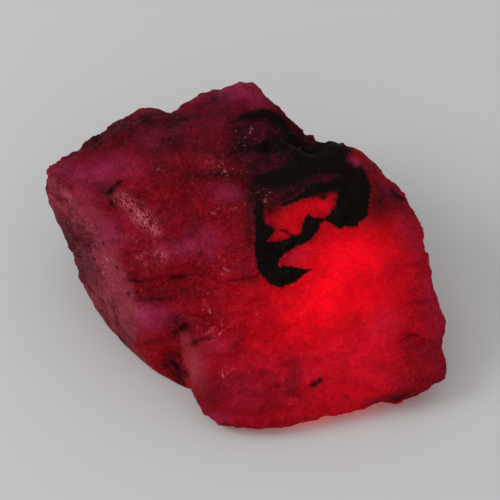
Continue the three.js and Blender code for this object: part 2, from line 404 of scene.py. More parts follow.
def seen_places(mesh):
    """Each vertex of a mesh as the viewer sees it, in millimetres, and the line of sight to it."""
    sight = read_vectors(mesh.vertices, "co") - eye
    depth = -(sight @ to_viewer)
    places = np.stack([sight @ rightwards, sight @ upwards], 1) * (DISTANCE / depth / MM)[:, None]
    return places, sight


def facing_share(mesh, sight):
    """How squarely each vertex faces the viewer: 1 straight on, 0 edge on and less on the far side."""
    normals = read_vectors(mesh.vertex_normals, "vector")
    return -(normals * sight).sum(1) / np.linalg.norm(sight, axis=1)


stone_mesh = fine_copy(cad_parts["rough_ruby"])
seen, sight = seen_places(stone_mesh)
hidden = 1 - smooth(facing_share(stone_mesh, sight), *CARVED_FACING)

drop = sum(drop_below(seen, *ledge) for ledge in LEDGES.values()) + patches(seen, HOLLOWS)
keep_mark(stone_mesh, "hidden", hidden)
keep_mark(stone_mesh, "drop", drop * (1 - hidden))
keep_mark(stone_mesh, "ragged", patches(seen, RAGGED_STRETCHES) * (1 - hidden))
crack = nearest(distance_to_route(seen, route) for route in CRACKS.values())
keep_mark(stone_mesh, "crack", crack + hidden)

ruby = bpy.data.materials.new("cloudy_ruby")
rough_stone = bpy.data.objects.new("ruby_in_the_rough", stone_mesh)
bpy.context.scene.collection.objects.link(rough_stone)
surface = rough_stone.modifiers.new("surface", "NODES")
surface.node_group = stone_surface_tree(ruby)
for item in surface.node_group.interface.items_tree:
    if item.in_out == "INPUT" and item.name in STONE_SURFACE:
        surface[item.identifier] = STONE_SURFACE[item.name]

finished = rough_stone.evaluated_get(bpy.context.evaluated_depsgraph_get())
stone_mesh = bpy.data.meshes.new_from_object(finished)
rough_stone.modifiers.remove(surface)
rough_stone.data = stone_mesh
stone_mesh.shade_smooth()

# Marks grown into the stone, with painted light and shade
# Black matrix fills part of the crest and runs down in a hook. Smoke, violet clouds, dusky patches that are
# partly painted shade, frosted patches with a painted sheen, painted glints and a painted glow for the
# light from below that comes through the stone follow. Their places are millimetres right of and above the
# middle of the view, and the marks fade out where the surface turns away from the viewer.
MATRIX_OUTLINES = {
    "hood over the crest": [
        (4.7, 10.6), (5.0, 11.3), (5.8, 11.7), (6.7, 11.9), (8.1, 12.6), (9.2, 12.3), (11.0, 12.3),
        (11.6, 11.7), (10.8, 10.8), (11.0, 10.1), (11.8, 9.6), (12.5, 9.2), (12.9, 9.6), (13.2, 8.9),
        (13.4, 7.9), (13.8, 6.9), (13.8, 5.8), (13.5, 4.3), (12.9, 3.5), (12.4, 2.9), (11.6, 2.8),
        (11.0, 3.0), (10.4, 2.5), (9.8, 3.0), (9.0, 3.2), (8.7, 3.7), (9.3, 4.3), (9.7, 4.9),
        (10.0, 5.6), (10.2, 6.4), (9.8, 6.9), (9.0, 7.0), (7.9, 6.7), (7.2, 6.4), (6.5, 6.2),
        (5.8, 6.0), (5.0, 5.5), (4.3, 5.2), (3.5, 5.1), (3.8, 5.5), (4.9, 5.9), (6.0, 6.5),
        (6.1, 7.3), (7.2, 7.7), (8.7, 7.6), (10.2, 8.1), (11.0, 8.8), (10.4, 9.2), (8.7, 9.1),
        (6.9, 8.7), (5.4, 8.0), (4.0, 7.6), (2.9, 7.4), (1.7, 7.6), (0.7, 8.0), (2.1, 8.6),
        (3.5, 9.1), (4.5, 9.5),
    ],
    "hook": [
        (0.8, 5.9), (0.7, 4.4), (0.7, 2.9), (0.6, 0.0), (1.0, -2.1), (2.2, -3.9), (2.8, -4.2),
        (3.5, -4.3), (5.1, -3.7), (7.3, -2.2), (5.9, -2.2), (4.0, -1.8), (3.4, -2.0), (3.1, -1.5),
        (3.6, -0.8), (4.3, -0.1), (5.3, 0.3), (6.3, 0.8), (7.2, 1.6), (7.9, 2.5), (8.3, 3.2),
        (8.9, 3.6), (8.1, 3.6), (7.3, 3.7), (6.8, 4.1), (6.4, 3.7), (6.1, 2.8), (5.8, 1.8),
        (4.2, 1.3), (3.1, 1.0), (2.1, 0.8), (1.7, 1.0), (2.4, 1.6), (2.8, 2.3), (2.3, 2.7),
        (1.6, 2.9), (1.5, 3.8), (1.6, 4.7), (1.4, 5.4),
    ],
    "valley along the crest": [
        (-1.2, 15.2), (0.4, 15.8), (1.4, 16.1), (2.3, 16.0), (3.2, 15.7), (4.1, 15.1), (4.3, 14.2),
        (4.7, 13.5), (5.4, 12.9), (6.3, 12.5), (7.2, 12.3), (6.7, 11.7), (6.1, 11.8), (5.4, 12.2),
        (4.6, 12.7), (4.0, 13.3), (3.6, 14.0), (3.1, 14.3), (2.7, 14.8), (2.1, 15.4), (1.4, 15.5),
        (0.0, 15.2),
    ],
    "wedge under the crest": [
        (0.9, 11.7), (1.6, 12.0), (2.2, 12.6), (3.2, 12.9), (4.0, 12.6), (4.5, 12.2), (4.4, 11.8),
        (3.5, 11.6), (1.8, 11.4),
    ],
}
# A route and its half width
MATRIX_STROKES = {
    "thin start of the valley": ([(-3.0, 14.3), (-2.1, 14.8), (-0.6, 15.3)], 0.15),
    "head of the fleck on the broad face": ([(-15.1, 7.9), (-15.5, 7.3), (-16.0, 6.8)], 0.16),
    "middle of that fleck": ([(-15.9, 6.9), (-16.4, 6.4)], 0.40),
    "foot of that fleck": ([(-16.3, 6.0), (-16.0, 5.4)], 0.20),
    "fleck at the right edge": ([(16.4, 6.9), (17.1, 6.2), (17.7, 5.9)], 0.35),
    "fleck low on the bright face": ([(7.4, -15.4), (8.1, -15.0)], 0.45),
    "dot in the window": ([(3.8, 2.3), (4.3, 2.1)], 0.30),
    "second dot in the window": ([(4.9, 1.8), (5.1, 1.7)], 0.24),
    "dot at the top of the window": ([(8.3, 6.0), (8.5, 6.1)], 0.42),
}
# Pale strokes: the ridge's light edge and the two points on it are painted highlights, and the others are
# pale scratches
PALE_STROKES = {
    "highlight on the ridge beside the valley": ([(3.0, 14.9), (3.6, 13.9), (4.5, 12.8), (5.4, 12.0), (6.1, 11.6)], 0.02),
    "glint at its head": ([(3.3, 14.1), (3.5, 13.9)], 0.12),
    "glint at its foot": ([(5.9, 11.8), (6.1, 11.6)], 0.08),
    "scratch on the shoulder": ([(-18.6, 7.9), (-17.7, 8.4)], 0.07),
    "nick beside it": ([(-10.8, 9.3), (-10.4, 9.4)], 0.07),
}
# Faces darkened with painted shade, each with one clear edge: an outline and how dark it is. The edges of
# these faces and of the wall are soft over a short way, which is given from inside the outline to outside
# it.
PAINTED_SHADE_EDGE = (-0.7, 0.3)
WALL_EDGE = (-0.4, 0.4)
PAINTED_SHADE_FACES = {
    "right corner": (
        [
            (17.3, -8.8), (18.9, -9.6), (21.0, -9.9), (23.2, -9.4), (23.4, -15.5), (20.5, -17.0),
            (16.6, -17.6), (18.0, -15.2), (18.7, -13.6), (17.6, -12.3), (17.2, -10.6),
        ],
        0.3,
    ),
    "low on the left of the bright face": (
        [
            (3.4, -13.1), (5.2, -12.3), (6.2, -13.0), (6.5, -14.2), (6.0, -15.6), (5.5, -17.0),
            (4.2, -17.0), (3.7, -15.5), (4.2, -14.1),
        ],
        0.45,
    ),
    "beside the shoulder": (
        [(-12.5, 11.2), (-8.0, 11.8), (-5.0, 10.6), (-6.5, 8.8), (-9.5, 8.6), (-12.3, 9.3)], 0.3,
    ),
    "outer strip of the left wall": (
        [
            (-22.8, 4.0), (-20.6, 3.6), (-19.3, 2.8), (-18.5, 0.7), (-17.7, -1.4), (-17.9, -3.4),
            (-20.0, -4.4), (-24.0, -2.0),
        ],
        0.42,
    ),
    "gap between the blocks": (
        [
            (-10.4, -12.4), (-9.4, -11.8), (-8.4, -11.2), (-8.0, -12.8), (-7.2, -14.6), (-8.4, -15.0),
            (-10.2, -13.9),
        ],
        0.6,
    ),
}
# Soft patches, given as the hollows are, with a strength from 0 to 1
PATCHES = {
    # Violet clouds. The patch low on the bottom edge and the one on the crest's cap are painted light.
    "violet": [
        (-17.0, 9.3, 4.4, 1.7, 8, 0.75), (-21.7, 9.2, 1.4, 0.7, 30, 0.5),
        (-19.1, 6.9, 1.8, 0.9, -30, 0.35), (-16.6, 1.5, 1.7, 1.6, 0, 0.85),
        (-13.5, 3.5, 7.0, 3.6, -20, 0.1), (-7.0, 0.4, 3.6, 0.9, 8, 0.65),
        (-4.8, -0.7, 1.4, 0.9, 0, 0.35), (-5.4, 2.3, 1.9, 0.9, 0, 0.35),
        (-2.4, 6.6, 2.2, 1.0, -8, 0.65), (-12.1, -7.9, 1.8, 1.5, -15, 1.0),
        (-10.2, -7.6, 1.6, 1.2, 0, 0.4), (-3.7, -19.4, 1.4, 0.6, 0, 0.8),
        (0.7, 17.6, 1.8, 1.1, -25, 0.7), (-2.6, 18.0, 2.8, 1.2, 12, 0.8),
        (-11.9, 12.7, 1.4, 0.8, -20, 0.45), (-8.5, 14.0, 7.5, 2.4, 0, 0.3),
        (-16.9, 13.1, 1.0, 0.7, 30, 0.4), (-4.0, -11.0, 1.8, 1.2, 0, 0.35),
        (-11.6, 16.2, 0.7, 0.5, 0, 0.5), (15.6, -8.7, 2.1, 1.6, 30, 0.35),
        (12.1, 10.2, 1.9, 0.5, -35, 0.6), (16.0, 6.9, 0.9, 0.6, -50, 0.5),
        (-0.6, -2.1, 1.4, 0.9, 0, 0.3), (5.2, -0.9, 1.4, 0.7, 15, 0.45),
        (11.5, -13.0, 7.0, 3.5, 0, 0.15), (0.0, -15.5, 5.5, 3.2, 0, 0.2),
        (21.5, -7.0, 1.5, 6.0, 5, 0.3), (18.0, 3.0, 1.2, 3.0, 20, 0.3),
    ],
    # Dark maroon clouds, and painted shade in hollows, under steps and on slopes turned from the light
    "dusk_and_shade": [
        (3.2, -15.7, 0.3, 0.3, 0, 0.9), (-17.2, 6.8, 1.4, 0.8, 30, 0.4),
        (1.9, -10.5, 0.35, 0.25, 30, 0.7), (11.2, -17.0, 0.3, 0.2, 0, 0.7),
        (-1.9, -11.2, 1.6, 0.5, 50, 0.4), (1.4, -14.0, 0.5, 0.4, 0, 0.4),
        (-3.6, -15.4, 1.8, 2.0, 0, 0.25), (18.4, -10.7, 1.3, 0.35, 0, 0.5),
        (20.8, -11.9, 0.9, 0.5, 10, 0.5), (18.7, -4.8, 0.8, 0.3, 30, 0.35),
        (16.6, -17.2, 3.8, 0.8, 14, 0.7), (22.8, -11.5, 1.0, 3.6, 0, 0.35),
        (18.5, 1.7, 1.0, 1.8, 0, 0.25), (16.0, -3.0, 1.2, 3.0, 0, 0.22),
        (4.4, -1.2, 1.4, 2.4, 0, 0.2), (8.3, 6.6, 2.8, 0.5, 12, 0.9), (4.9, 6.6, 2.2, 0.6, 38, 0.95),
        (-21.8, 8.7, 1.4, 0.8, 40, 0.35), (-15.0, 13.9, 1.8, 0.8, 28, 0.8),
        (-11.8, 14.9, 1.0, 0.7, 0, 0.7), (-8.9, 15.1, 1.5, 0.8, 0, 0.9),
        (-9.4, 14.0, 1.8, 1.6, 0, 0.25), (0.0, 8.7, 1.2, 0.8, 0, 0.4),
        (-18.0, 12.0, 1.8, 0.7, 35, 0.6), (-14.5, 12.9, 5.0, 1.1, 30, 0.5),
        (-8.1, 11.6, 3.0, 1.2, 0, 0.4), (-0.4, 11.4, 2.0, 0.25, 6, 0.8),
        (4.9, 14.1, 2.5, 1.0, -45, 0.6), (-3.5, 8.7, 4.0, 0.6, 0, 0.75),
        (-0.1, 2.3, 0.8, 4.0, 0, 0.75), (-1.2, 2.3, 2.0, 4.5, 0, 0.25), (0.7, 6.7, 0.9, 1.7, 0, 0.9),
        (0.0, -3.2, 1.5, 1.0, 0, 0.4), (-10.4, -4.8, 3.2, 1.1, 0, 0.25),
        (-10.5, -5.6, 2.2, 0.25, 3, 0.6), (-7.8, -8.7, 1.7, 0.9, -30, 0.7),
        (-11.2, -10.6, 1.8, 0.35, 8, 0.5), (-14.0, -10.2, 1.4, 0.4, -50, 0.4),
        (-9.0, -13.0, 0.9, 0.5, -40, 0.9), (-8.2, -14.3, 0.4, 1.6, 12, 0.9),
        (-6.4, -10.8, 0.8, 0.5, 0, 0.7), (20.3, -10.6, 2.0, 0.4, -5, 0.15),
        (6.5, 13.2, 2.0, 0.9, -42, 0.8), (2.9, 6.9, 3.2, 1.5, 8, 0.8), (6.2, 8.0, 2.6, 0.8, 8, 0.7),
        (20.2, -5.8, 1.6, 1.4, 0, 0.15), (19.4, -6.0, 1.6, 0.25, 5, 0.4),
        (16.8, 5.8, 1.6, 0.7, -50, 0.6), (-16.2, 6.9, 1.0, 1.2, 30, 0.5),
        (-4.4, -17.6, 1.0, 1.4, 0, 0.35), (-6.4, 8.3, 3.2, 0.9, 8, 0.35),
        (-3.2, 11.3, 1.6, 0.9, 0, 0.4), (-11.6, 11.2, 2.1, 0.7, 0, 0.35),
        (0.0, 14.5, 3.9, 0.8, 10, 0.25), (2.4, 5.0, 1.4, 1.0, 10, 0.75),
        (-4.6, 17.4, 2.2, 1.0, 20, 0.45), (-3.5, 17.3, 1.4, 0.8, 10, 0.4),
        (-6.9, 14.5, 1.4, 1.2, 0, 0.3), (-12.0, 15.6, 3.0, 0.8, 15, 0.4),
        (-20.5, 11.5, 2.0, 0.9, 35, 0.5), (-5.2, 15.5, 3.7, 1.2, 5, 0.35),
        (-3.0, 15.8, 6.0, 1.6, 8, 0.3), (-7.5, 12.7, 8.5, 1.8, 0, 0.5), (14.8, 5.2, 1.8, 2.8, 0, 0.7),
        (-17.2, 13.8, 4.6, 0.8, 35, 0.7), (3.4, 17.0, 2.5, 0.8, -45, 0.5),
    ],
    # Frosted patches, paler also with a painted sheen
    "frost_and_sheen": [
        (-14.6, 5.7, 1.1, 0.7, -20, 0.9), (-12.6, 3.9, 1.7, 0.9, -45, 1.0),
        (-11.2, 2.6, 0.9, 0.6, -45, 0.8), (-10.4, -0.4, 0.9, 0.6, -30, 0.4),
        (-4.0, 10.1, 1.8, 0.9, 0, 0.12), (-11.6, -1.4, 1.6, 0.9, 0, 0.15),
        (-15.0, 1.2, 0.9, 0.7, 0, 0.25),
    ],
    # Where painted glints crowd together
    "sparkle": [
        (-5.2, -8.7, 2.0, 1.6, -10, 0.8), (-3.0, -2.0, 1.0, 1.2, 0, 0.6),
        (-5.0, -5.4, 0.8, 1.2, 30, 0.6), (-3.2, 9.6, 2.0, 1.2, 0, 0.7), (1.6, 7.2, 1.4, 1.6, 0, 0.8),
        (-0.4, 4.6, 0.9, 0.9, 0, 0.7), (-3.4, 4.2, 1.4, 0.6, -30, 0.6),
        (-1.0, 13.2, 2.4, 1.2, 0, 0.25), (-11.8, -1.0, 2.0, 1.2, -20, 0.5),
        (-13.2, 1.2, 1.2, 1.0, 0, 0.4), (-13.3, -3.9, 1.0, 0.7, 0, 0.5),
        (-1.6, -11.9, 0.9, 0.7, 20, 0.7), (-3.2, -14.2, 0.9, 0.6, 0, 0.8),
        (-8.9, 2.4, 0.8, 0.6, 0, 0.3), (10.9, -10.4, 0.7, 0.5, 40, 0.5),
        (-16.6, -2.4, 0.7, 1.8, 20, 0.5), (7.5, 10.8, 1.2, 0.8, 0, 0.3),
        (0.9, -6.8, 0.8, 2.4, 0, 0.3),
    ],
    # Dusty faces, made paler also by a painted sheen of reflected light
    "dust_and_sheen": [
        (-6.5, -13.3, 1.2, 2.8, 8, 0.8), (-7.4, -10.4, 0.9, 0.9, 0, 0.5),
        (-14.8, -4.0, 5.2, 0.8, -72, 0.8), (-18.3, 4.4, 3.2, 1.0, -52, 0.6),
    ],
    "shade": [
        (-20.2, 0.5, 5.0, 1.2, -70, 0.3), (-20.8, 3.4, 2.0, 1.2, -60, 0.2),
    ],
    "pits": [
        (-19.7, 0.0, 7.0, 1.6, -70, 1.0), (-16.0, -8.5, 5.0, 1.2, -55, 0.7),
        (-12.3, -12.3, 3.5, 1.0, -38, 0.9), (-9.6, -12.6, 1.4, 1.0, -40, 1.0),
        (-8.3, -13.8, 1.0, 2.2, 10, 0.9), (-14.6, -4.0, 3.0, 0.4, -72, 0.6),
        (-16.4, 1.6, 2.0, 0.5, -60, 0.4), (1.8, 6.8, 1.8, 2.2, 0, 0.5), (0.6, 13.0, 3.4, 1.2, 8, 0.4),
    ],
    # Painted glow, given as emission, in place of lamp light from below coming through the stone
    "glow": [
        (10.2, -2.3, 5.6, 5.2, 0, 0.47), (9.6, -7.0, 10.5, 8.5, 0, 0.38),
        (11.0, -14.0, 6.5, 3.2, 0, 0.15), (8.0, -6.9, 4.5, 2.4, 35, 0.34),
        (2.6, -9.8, 2.6, 1.8, 0, 0.14), (11.0, -10.5, 8.0, 1.8, 0, 0.1),
        (11.6, -19.0, 3.0, 1.2, 9, 0.12), (15.6, 1.7, 4.0, 2.9, 0, 0.15),
        (5.8, 4.0, 4.4, 2.2, 25, 0.22), (5.0, -18.5, 6.0, 1.8, 10, 0.10),
        (12.5, -17.0, 4.0, 1.2, 9, 0.12), (-3.5, -18.6, 3.0, 1.6, 0, 0.05),
        (12.5, 1.0, 3.5, 2.5, 0, 0.25), (-1.0, -13.0, 5.0, 4.0, 0, 0.08),
        (2.0, -14.5, 1.6, 3.5, 0, 0.05), (6.3, 4.6, 1.8, 1.2, 20, 0.3),
        (-10.5, -10.8, 3.5, 1.8, -35, 0.05), (-7.0, -13.5, 1.2, 2.5, 8, 0.03),
    ],
}
SMOKE_OUTLINE = [
    (-2.8, 15.2), (0.0, 15.8), (3.0, 15.8), (5.3, 14.2), (8.2, 12.6), (11.0, 12.0), (11.4, 10.2),
    (13.9, 7.5), (13.9, 2.3), (11.0, 2.9), (9.8, 6.9), (6.6, 6.2), (5.0, 5.4), (1.6, 5.0), (0.9, 4.2),
    (0.0, 1.2), (-0.3, 6.9), (-1.2, 9.0), (-2.5, 10.4),
]
WALL_OUTLINE = [
    (-23.6, 9.2), (-22.0, 8.1), (-19.7, 5.4), (-17.9, 3.2), (-16.8, 0.6), (-14.5, -2.3),
    (-13.5, -4.6), (-12.9, -6.9), (-13.1, -9.8), (-13.4, -11.0), (-12.0, -13.0), (-10.5, -15.0),
    (-9.5, -16.5), (-25.0, -16.5), (-25.0, 9.0),
]
# Where it is out of sight, a mark is moved off by this many millimetres. The tiny length keeps the
# level edge of an outline from a division by 0.
OUT_OF_REACH = 4.0
TINY = 1e-9


def distance_to_outline(places, outline):
    """The distance of each place to an outline, less than 0 inside it."""
    inside = np.zeros(len(places), bool)
    x, y = places.T
    for (x0, y0), (x1, y1) in zip(outline, outline[1:] + outline[:1]):
        crossed = (y0 > y) != (y1 > y)
        inside ^= crossed & (x < x0 + (y - y0) * (x1 - x0) / (y1 - y0 + TINY))
    distance = distance_to_route(places, outline + outline[:1])
    return np.where(inside, -distance, distance)


seen, sight = seen_places(stone_mesh)
hidden = np.empty(len(stone_mesh.vertices), np.float32)
stone_mesh.attributes["hidden"].data.foreach_get("value", hidden)
in_sight = smooth(facing_share(stone_mesh, sight), *MARKED_FACING)
hidden *= 1 - in_sight * (1 - smooth(hidden, *FAR_SIDE))
keep_mark(stone_mesh, "hidden", hidden)

distances = {
    "matrix": nearest(distance_to_outline(seen, outline) for outline in MATRIX_OUTLINES.values()),
    "fleck": nearest(distance_to_route(seen, route) - half for route, half in MATRIX_STROKES.values()),
    "crack": nearest(distance_to_route(seen, route) for route in CRACKS.values()),
    "pale": nearest(distance_to_route(seen, route) - half for route, half in PALE_STROKES.values()),
    "smoke": distance_to_outline(seen, SMOKE_OUTLINE),
}
for name, distance in distances.items():
    keep_mark(stone_mesh, name, distance + OUT_OF_REACH * hidden)

wall = distance_to_outline(seen, WALL_OUTLINE)
keep_mark(stone_mesh, "wall", 1 - smooth(wall * (1 - hidden), *WALL_EDGE))
# Painted shade on the faces turned from the light and in the gap between the blocks
lit = np.ones(len(seen))
for outline, darkness in PAINTED_SHADE_FACES.values():
    lit *= 1 - darkness * (1 - smooth(distance_to_outline(seen, outline), *PAINTED_SHADE_EDGE))
keep_mark(stone_mesh, "painted_shade_face", (1 - lit) * (1 - hidden))
for name, shapes in PATCHES.items():
    keep_mark(stone_mesh, name, patches(seen, shapes) * (1 - hidden))

# A painted glow, given as emission, stands for the light that comes through the stone and leaves it under
# the overhang at the front.
UNDERGLOW_MIDDLE = np.array((10.0, -13.0)) * MM
UNDERGLOW_REACH = 9 * MM
UNDERGLOW_FADES = (3 * MM, 6 * MM)
OVERHANG_TILT = (0.0, 0.4)
co = read_vectors(stone_mesh.vertices, "co")
downwards = -read_vectors(stone_mesh.vertex_normals, "vector")[:, 2]
near = np.exp(-(((co[:, :2] - UNDERGLOW_MIDDLE) / UNDERGLOW_REACH) ** 2).sum(1))
low = 1 - smooth(co[:, 2], *UNDERGLOW_FADES)
keep_mark(stone_mesh, "underglow", near * low * smooth(downwards, *OVERHANG_TILT) * hidden)

# The stone's finish
# Cloudy crimson crystal with a broken, satin surface: mottled red, veiled with violet, speckled with
# painted glints on bright cleavage points, and black where matrix has grown in. Painted shade darkens
# hollows, steps and faces turned from the light, a painted sheen pales the wall and the frost, and the thin
# side has a painted glow that stands for light from below coming through it.
CRIMSON = (0.25, 0.0010, 0.0080, 1)
DEEP_CRIMSON = (0.135, 0.0008, 0.0040, 1)
VIOLET = (0.34, 0.026, 0.095, 1)
# The wall's dusty pink-brown is partly a painted sheen of reflected light
DUSTY_SHEEN_WALL = (0.28, 0.034, 0.058, 1)
DARK_WALL = (0.08, 0.010, 0.014, 1)
MAROON = (0.020, 0.0022, 0.0040, 1)
SMOKE = (0.055, 0.0030, 0.0095, 1)
# Frost's pale pink also serves as painted sheen and as the colour of painted glints
FROST_AND_SHEEN_PINK = (0.80, 0.20, 0.28, 1)
# The colour of painted highlights on the glints
GLINT = (0.62, 0.14, 0.17, 1)
PALE_SCRATCH_AND_GLINT = (0.22, 0.10, 0.12, 1)
MATRIX_BLACK = (0.0062, 0.0030, 0.0025, 1)
MATRIX_GREY = (0.015, 0.010, 0.009, 1)
# The colour of the painted glow
GLOW_RED = (1.0, 0.0006, 0.0060, 1)
DARKNESS = (0, 0, 0, 1)
UNDERGLOW_STRENGTH = 0.9
EMISSION_STRENGTH = 1.0
SPECULAR_LEVEL = 0.03
ROUGHNESS = 0.5
BUMP_STRENGTH = 0.6
BUMP_DEPTH = 0.4 * MM
# The wall's streaks run along the first direction, and the hairs of the frost, which are painted glints,
# lie across the second. The layers in the smoke climb to the right by their share.
ALONG_WALL = (0.45, -0.85, -0.27)
ACROSS_FROST = (0.78, 0.58, 0.2)
SMOKE_CLIMB = 0.15
# How far marks reach, in millimetres from inside to outside their outline or stroke
SMOKE_EDGE = (-2.0, 1.0)
HALO_EDGE = (0.0, 0.8)
MATRIX_EDGE = (-0.05, 0.13)
SMOKY_EDGE_GAIN = 0.45
FLECK_EDGE = (-0.25, 0.2)
CRACK_EDGE = (0.0, 0.25)
SCRATCH_AND_GLINT_EDGE = (0.0, 0.12)
# Matrix on the far side fills the places where noise is above the level. The slope turns the rest of
# the noise into millimetres from the matrix.
BLOB_LEVEL = 0.14
BLOB_SLOPE = 12.0
# Thin lines run where noise passes 0, and these are their half widths in the noise's own units.
WISP_WIDTH = 0.035
FLAKE_WIDTH = 0.045
HAIR_WIDTH = 0.07


def blend(share, first, second):
    """The first colour where the share is 0 and the second where it is 1."""
    settings = {"data_type": "RGBA", "clamp_factor": True}
    return share.node("ShaderNodeMix", settings, {0: share, 6: first, 7: second}, 2)


def drawn_out(place, share):
    """The place for a pattern that is drawn out from left to right, the more so the less the share."""
    return place.vector("MULTIPLY", (share, 1.0, 1.0))


def finish_ruby(material):
    """Builds the stone's colour with its painted shade, sheen and glints, its painted glow, roughness and
    bump from its marks and from noise.
    """
    material.use_nodes = True
    tree = material.node_tree
    shader = tree.nodes["Principled BSDF"]
    new = Wire(tree).node

    def mark(name):
        return new("ShaderNodeAttribute", {"attribute_name": name}, {}, "Fac")

    def specks(place, size, chance, reach):
        """Small spots of mixed sizes, one in each cell whose draw falls under the chance."""
        cells = {"Vector": place, "Scale": 1 / size}
        distance = new("ShaderNodeTexVoronoi", {}, cells, "Distance")
        draws = new("ShaderNodeTexVoronoi", {}, cells, "Color")
        draw = new("ShaderNodeSeparateColor", {}, {0: draws}, 0)
        other_draw = new("ShaderNodeSeparateColor", {}, {0: draws}, 1)
        spot = 1 - rise(distance / (0.4 + other_draw * 0.8), reach * 0.3, reach)
        return spot * (0.3 + other_draw * 0.7) * rise(chance - draw, 0.0, 0.01)

    # Noise in several sizes, in places that are bent a little or more
    place = new("ShaderNodeTexCoord", {}, {}, "Object").scaled(1 / MM)
    drift = wander(place, spacing=2.5, detail=3.0)
    drifted = place.vector("ADD", drift.scaled(3.0))
    sparkled = place.vector("ADD", drift.scaled(1.0))
    hidden = mark("hidden")

    fine = noise(place, spacing=0.35, detail=4.0)
    middling = noise(drawn_out(drifted, 0.6), spacing=1.5, detail=5.0, seed=1.0)
    broad = noise(drifted, spacing=6.0, detail=3.0, seed=2.0)
    level = place.node("ShaderNodeSeparateXYZ", {}, {0: place}, "X") * -SMOKE_CLIMB
    climbing = new("ShaderNodeCombineXYZ", {}, {"Z": level})
    layered = noise(drawn_out(drifted, 0.2).vector("ADD", climbing), spacing=1.0, detail=3.0, seed=9.0)
    sheen_grain = noise(place, spacing=0.22, detail=2.0, seed=8.0)
    wisp = noise(drawn_out(drifted, 0.5), spacing=2.2, detail=3.0, seed=4.0).maths("ABSOLUTE")

    # Crystal in two reds, with dark wisps and violet clouds, a few of which are painted light
    chip, chip_draw = facets(sparkled, size=0.9, seed=3.0)
    small_chip, small_draw = facets(sparkled, size=0.35, seed=4.0)
    mottle = middling * 0.8 + broad * 0.8 + fine * 0.4 + (chip_draw - 0.5) * 0.12 + (small_draw - 0.5) * 0.1
    colour = blend(rise(mottle, -0.25, 0.25), DEEP_CRIMSON, CRIMSON)
    colour = blend((1 - rise(wisp, 0.0, WISP_WIDTH)) * 0.35, colour, MAROON)
    veil = mark("violet") + hidden * rise(broad, 0.05, 0.2) * 0.6
    colour = blend(veil * (0.75 + middling * 1.8 + fine), colour, VIOLET)

    # The dusty wall with a painted sheen, streaked along its layers
    across_wall = place.vector("DOT_PRODUCT", tuple(LAYER_NORMAL), output="Value")
    across_place = new("ShaderNodeCombineXYZ", {}, {"X": across_wall * 0.4, "Y": across_wall * 0.1})
    along_wall = sparkled.vector("DOT_PRODUCT", ALONG_WALL, output="Value") * 0.6
    stretch = new("ShaderNodeVectorMath", {"operation": "SCALE"}, {0: ALONG_WALL, "Scale": along_wall})
    streak_place = across_place.vector("ADD", sparkled.vector("SUBTRACT", stretch))
    streak = noise(streak_place, spacing=0.55, detail=3.0, seed=3.0)
    shading = streak * 0.6 + middling * 0.7 + fine * 0.5 + mark("dust_and_sheen") * 0.3 - mark("shade") * 0.3
    wall = blend(rise(shading, -0.24, 0.11), DARK_WALL, DUSTY_SHEEN_WALL)
    walled = mark("wall") * (0.8 + middling)
    colour = blend(walled.maths("MAXIMUM", mark("dust_and_sheen")), colour, wall)

    # Dusk and painted shade, smoke and the pits of the wall. The far side has its matrix in scattered
    # blobs.
    ragged = fine * 0.55 + middling * 0.7
    bright = mark("glow")
    dusk_and_shade = (mark("dusk_and_shade") * (1.05 + middling * 2.2 + fine)).maths("MAXIMUM", mark("painted_shade_face"))
    short_of_level = BLOB_LEVEL - noise(place, spacing=6.0, detail=3.0, seed=5.0)
    from_blobs = short_of_level * BLOB_SLOPE + (1 - hidden) * OUT_OF_REACH
    from_matrix = mark("matrix").maths("MINIMUM", from_blobs) + ragged
    from_fleck = mark("fleck") + fine * 0.6 + middling * 0.9
    halo = 1 - rise(from_matrix, *HALO_EDGE)
    smoke = 1 - rise(mark("smoke") + middling * 2.5 + fine, *SMOKE_EDGE)
    dusk_and_shade = dusk_and_shade.maths("MAXIMUM", halo * (0.85 - bright * 1.6))
    colour = blend(smoke * (1.1 + middling), colour, SMOKE)
    colour = blend(dusk_and_shade, colour, MAROON)
    colour = blend(smoke * rise(layered, -0.03, 0.08) * 0.75, colour, MATRIX_BLACK)
    dusk_and_shade = dusk_and_shade.maths("MAXIMUM", smoke)
    pits = specks(streak_place, size=0.45, chance=mark("pits") * 0.45, reach=0.7)
    colour = blend(pits * 0.9, colour, MATRIX_BLACK)

    # A painted sheen in a fine grain all over, and frost with painted sheen that is brushed one way
    across = place.vector("DOT_PRODUCT", ACROSS_FROST, output="Value")
    brushed = new("ShaderNodeCombineXYZ", {}, {"X": across * 1.3}).vector("ADD", sparkled.scaled(1.2))
    brush = noise(brushed, spacing=0.45, detail=3.0, seed=6.0)
    frost_and_sheen = mark("frost_and_sheen") * rise(brush + middling * 0.4, -0.06, 0.1)
    painted_sheen = sheen_grain * 0.25 + middling * 0.04 + (small_draw - 0.5) * 0.04 - 0.004
    painted_sheen = painted_sheen * (1 - dusk_and_shade * 0.35) * (1 - bright * 0.8).maths("MAXIMUM", 0.0) * (1 + mark("wall") * 1.5)
    colour = blend(painted_sheen.maths("MAXIMUM", frost_and_sheen * 0.32), colour, FROST_AND_SHEEN_PINK)

